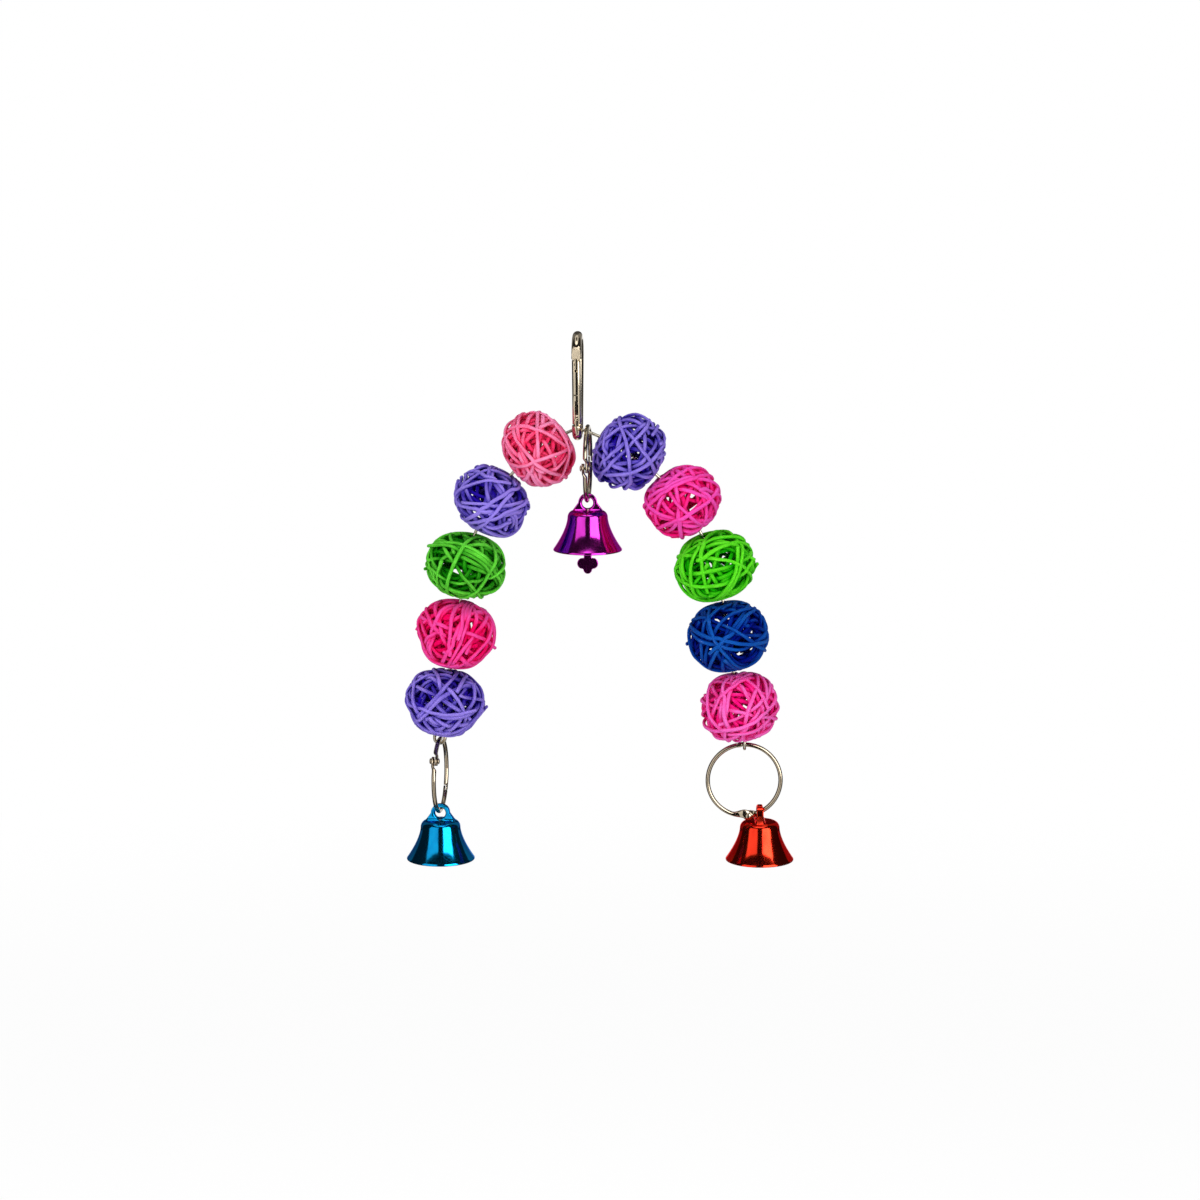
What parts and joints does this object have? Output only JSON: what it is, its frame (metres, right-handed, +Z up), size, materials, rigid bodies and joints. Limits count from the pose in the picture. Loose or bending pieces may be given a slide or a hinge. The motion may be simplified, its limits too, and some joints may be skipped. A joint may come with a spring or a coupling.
{
  "type": "hanging bird toy arch",
  "caption": "Hanging bird toy: a wire arch threaded with woven vine balls, hung from a snap hook, with hinged rings and lacquered bells at its crown and ends.",
  "frame": {"origin": "inside top of the snap hook, where it hangs on a cage bar", "axes": "+Z up along the hanging toy, +X to the right along the arch, +Y away from the viewer"},
  "size_m": [0.1908, 0.0393, 0.2632],
  "materials": {
    "nickel": "nickel-plated steel, polished",
    "vine_pale_pink": "dyed vine strand, dull",
    "vine_purple": "dyed vine strand, dull",
    "vine_green": "dyed vine strand, dull",
    "vine_hot_pink": "dyed vine strand, dull",
    "vine_magenta": "dyed vine strand, dull",
    "vine_lime": "dyed vine strand, dull",
    "vine_blue": "dyed vine strand, dull",
    "vine_pink": "dyed vine strand, dull",
    "lacquer_magenta": "clear coloured lacquer on pressed steel, glossy",
    "lacquer_blue": "clear coloured lacquer on pressed steel, glossy",
    "lacquer_red": "clear coloured lacquer on pressed steel, glossy"
  },
  "bodies": {
    "hook": {"snap_hook_body": "nickel"},
    "gate": {"snap_hook_gate": "nickel", "gate_pivot_pin": "nickel", "gate_catch_pin": "nickel", "gate_spring": "nickel", "gate_plunger": "nickel"},
    "arch": {"arch_wire": "nickel"},
    "ball_left_1": {"ball_left_1": "vine_pale_pink"},
    "ball_left_2": {"ball_left_2": "vine_purple"},
    "ball_left_3": {"ball_left_3": "vine_green"},
    "ball_left_4": {"ball_left_4": "vine_hot_pink"},
    "ball_left_5": {"ball_left_5": "vine_purple"},
    "ball_right_1": {"ball_right_1": "vine_purple"},
    "ball_right_2": {"ball_right_2": "vine_magenta"},
    "ball_right_3": {"ball_right_3": "vine_lime"},
    "ball_right_4": {"ball_right_4": "vine_blue"},
    "ball_right_5": {"ball_right_5": "vine_pink"},
    "ring_centre": {"ring_centre_hanging_half": "nickel", "ring_centre_rivet": "nickel"},
    "ring_centre_opening": {"ring_centre_opening_half": "nickel"},
    "bell_centre": {"bell_centre_shell": "lacquer_magenta", "bell_centre_staple": "nickel"},
    "clapper_centre": {"bell_centre_clapper": "lacquer_magenta"},
    "ring_left": {"ring_left_hanging_half": "nickel", "ring_left_rivet": "nickel"},
    "ring_left_opening": {"ring_left_opening_half": "nickel"},
    "bell_left": {"bell_left_shell": "lacquer_blue", "bell_left_staple": "nickel"},
    "clapper_left": {"bell_left_clapper": "lacquer_blue"},
    "ring_right": {"ring_right_hanging_half": "nickel", "ring_right_rivet": "nickel"},
    "ring_right_opening": {"ring_right_opening_half": "nickel"},
    "bell_right": {"bell_right_shell": "lacquer_red", "bell_right_staple": "nickel"},
    "clapper_right": {"bell_right_clapper": "lacquer_red"}
  },
  "joints": [
    {"name": "gate_pivot", "type": "hinge", "parent": "hook", "child": "gate", "pos_m": [-0.00034, -0.00558, -0.03748], "axis": [-0.9981, 0.061, 0], "range_deg": [0, 24], "stiffness_Nm_per_rad": 0.12, "springref_deg": -14.32},
    {"name": "arch_swing", "type": "hinge", "parent": "hook", "child": "arch", "pos_m": [0, 0, -0.0422], "axis": [1, 0, 0], "range_deg": [-38, 38]},
    {"name": "ball_left_1_spin", "type": "hinge", "parent": "arch", "child": "ball_left_1", "pos_m": [-0.01877, 0, -0.05265], "axis": [-0.8032, 0, -0.5958], "continuous": true},
    {"name": "ball_left_2_spin", "type": "hinge", "parent": "arch", "child": "ball_left_2", "pos_m": [-0.04191, 0, -0.07766], "axis": [-0.5313, 0, -0.8472], "continuous": true},
    {"name": "ball_left_3_spin", "type": "hinge", "parent": "arch", "child": "ball_left_3", "pos_m": [-0.05436, 0, -0.10945], "axis": [-0.1858, 0, -0.9826], "continuous": true},
    {"name": "ball_left_4_spin", "type": "hinge", "parent": "arch", "child": "ball_left_4", "pos_m": [-0.05977, 0, -0.14332], "axis": [-0.1564, 0, -0.9877], "continuous": true},
    {"name": "ball_left_5_spin", "type": "hinge", "parent": "arch", "child": "ball_left_5", "pos_m": [-0.06515, 0, -0.17728], "axis": [-0.1564, 0, -0.9877], "continuous": true},
    {"name": "ball_right_1_spin", "type": "hinge", "parent": "arch", "child": "ball_right_1", "pos_m": [0.02456, 0, -0.05412], "axis": [0.832, 0, -0.5548], "continuous": true},
    {"name": "ball_right_2_spin", "type": "hinge", "parent": "arch", "child": "ball_right_2", "pos_m": [0.05025, 0, -0.07832], "axis": [0.6037, 0, -0.7972], "continuous": true},
    {"name": "ball_right_3_spin", "type": "hinge", "parent": "arch", "child": "ball_right_3", "pos_m": [0.0666, 0, -0.10968], "axis": [0.3079, 0, -0.9514], "continuous": true},
    {"name": "ball_right_4_spin", "type": "hinge", "parent": "arch", "child": "ball_right_4", "pos_m": [0.07342, 0, -0.1445], "axis": [0.1564, 0, -0.9877], "continuous": true},
    {"name": "ball_right_5_spin", "type": "hinge", "parent": "arch", "child": "ball_right_5", "pos_m": [0.07897, 0, -0.17957], "axis": [0.1564, 0, -0.9877], "continuous": true},
    {"name": "ring_centre_swing", "type": "hinge", "parent": "arch", "child": "ring_centre", "pos_m": [0.00482, 0, -0.04378], "axis": [0.9976, -0.0698, 0], "range_deg": [-35, 35]},
    {"name": "ring_left_swing", "type": "hinge", "parent": "arch", "child": "ring_left", "pos_m": [-0.06778, 0, -0.19563], "axis": [0.1305, 0.9914, 0], "range_deg": [-20, 20]},
    {"name": "ring_right_swing", "type": "hinge", "parent": "arch", "child": "ring_right", "pos_m": [0.08169, 0, -0.19843], "axis": [1, 0, 0], "range_deg": [-30, 30]},
    {"name": "ring_centre_open", "type": "hinge", "parent": "ring_centre", "child": "ring_centre_opening", "pos_m": [0.00357, -0.01786, -0.05936], "axis": [-0.9976, 0.0698, 0], "range_deg": [0, 35]},
    {"name": "ring_left_open", "type": "hinge", "parent": "ring_left", "child": "ring_left_opening", "pos_m": [-0.06972, -0.01471, -0.20352], "axis": [-0.9914, 0.1305, 0], "range_deg": [0, 35]},
    {"name": "ring_right_open", "type": "hinge", "parent": "ring_right", "child": "ring_right_opening", "pos_m": [0.08387, 0, -0.23409], "axis": [0, -1, 0], "range_deg": [0, 35]},
    {"name": "bell_centre_swing", "type": "hinge", "parent": "ring_centre_opening", "child": "bell_centre", "pos_m": [0.00482, 0, -0.07726], "axis": [0, 1, 0], "range_deg": [-32, 32]},
    {"name": "bell_left_swing", "type": "hinge", "parent": "ring_left_opening", "child": "bell_left", "pos_m": [-0.06778, 0, -0.23143], "axis": [0.1305, 0.9914, 0], "range_deg": [-40, 40]},
    {"name": "bell_right_swing", "type": "hinge", "parent": "ring_right", "child": "bell_right", "pos_m": [0.08954, 0, -0.23242], "axis": [1, 0, 0], "range_deg": [-40, 40]},
    {"name": "clapper_centre_swing", "type": "hinge", "parent": "bell_centre", "child": "clapper_centre", "pos_m": [0.00482, 0, -0.08581], "axis": [0, 1, 0], "range_deg": [-24, 24]},
    {"name": "clapper_left_swing", "type": "hinge", "parent": "bell_left", "child": "clapper_left", "pos_m": [-0.06778, 0, -0.23998], "axis": [0.1305, 0.9914, 0], "range_deg": [-24, 24]},
    {"name": "clapper_right_swing", "type": "hinge", "parent": "bell_right", "child": "clapper_right", "pos_m": [0.08954, 0, -0.24052], "axis": [1, 0, 0], "range_deg": [-24, 24]}
  ]
}
